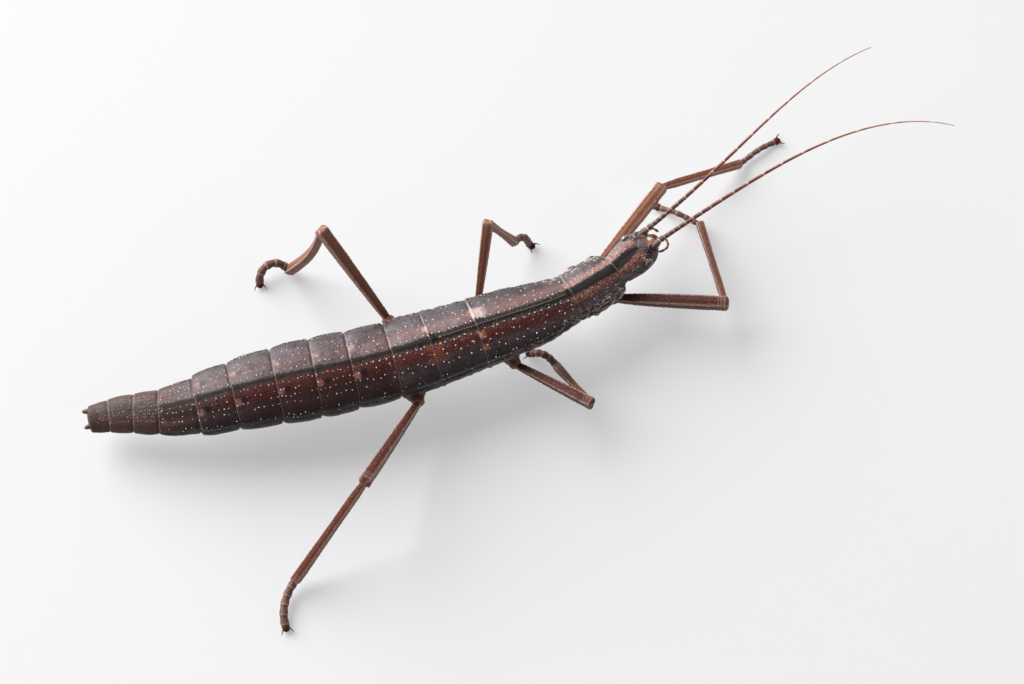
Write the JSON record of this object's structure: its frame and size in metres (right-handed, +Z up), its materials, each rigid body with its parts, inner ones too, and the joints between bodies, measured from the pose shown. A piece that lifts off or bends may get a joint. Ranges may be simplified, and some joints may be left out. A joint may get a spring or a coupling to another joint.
{
  "type": "stick insect",
  "caption": "Life-size still model of a stout dark walkingstick, an adult female in mid-stride, standing on its feet with both feelers stretched forward.",
  "frame": {"origin": "under the middle of the whole box, on the floor that the feet stand on", "axes": "+X the way the insect walks and the feelers point, +Y its left side, +Z up"},
  "size_m": [0.1026, 0.0432, 0.0156],
  "materials": {
    "cuticle": "dark purplish-brown insect cuticle, finely wrinkled, satin, with black stripes, rusty bands and cream granules",
    "hind_segments": "browner dark cuticle, satin, with fine pale granules",
    "leg": "dark red-brown keeled cuticle, satin, with pale granules",
    "foot": "brown cuticle, matt",
    "claw": "near-black, smooth",
    "eye": "dark grey mottled facets, glossy",
    "feeler": "red-brown to tan joints with pale rings, satin",
    "mouth": "amber horn, semi-gloss"
  },
  "bodies": {
    "root": {"head": "cuticle", "prothorax": "cuticle", "mesothorax": "cuticle", "metathorax": "cuticle", "median_segment": "cuticle", "abdomen_2": "cuticle", "abdomen_3": "cuticle", "abdomen_4": "cuticle", "abdomen_5": "cuticle", "abdomen_6": "cuticle", "abdomen_7": "cuticle", "abdomen_8": "hind_segments", "abdomen_9": "hind_segments", "abdomen_10": "hind_segments", "cercus_left": "hind_segments", "cercus_right": "hind_segments", "genital_plate": "hind_segments", "antenna_base_left": "cuticle", "antenna_base_right": "cuticle", "antenna_left": "feeler", "antenna_right": "feeler", "eye_left": "eye", "eye_right": "eye", "mouthparts": "mouth", "palp_left": "mouth", "palp_right": "mouth", "coxa_fore_left": "cuticle", "femur_fore_left": "leg", "tibia_fore_left": "leg", "tarsus_fore_left": "foot", "claws_fore_left": "claw", "coxa_fore_right": "cuticle", "femur_fore_right": "leg", "tibia_fore_right": "leg", "tarsus_fore_right": "foot", "claws_fore_right": "claw", "coxa_middle_left": "cuticle", "femur_middle_left": "leg", "tibia_middle_left": "leg", "tarsus_middle_left": "foot", "claws_middle_left": "claw", "coxa_middle_right": "cuticle", "femur_middle_right": "leg", "tibia_middle_right": "leg", "tarsus_middle_right": "foot", "claws_middle_right": "claw", "coxa_hind_left": "cuticle", "femur_hind_left": "leg", "tibia_hind_left": "leg", "tarsus_hind_left": "foot", "claws_hind_left": "claw", "coxa_hind_right": "cuticle", "femur_hind_right": "leg", "tibia_hind_right": "leg", "tarsus_hind_right": "foot", "claws_hind_right": "claw"}
  },
  "joints": []
}
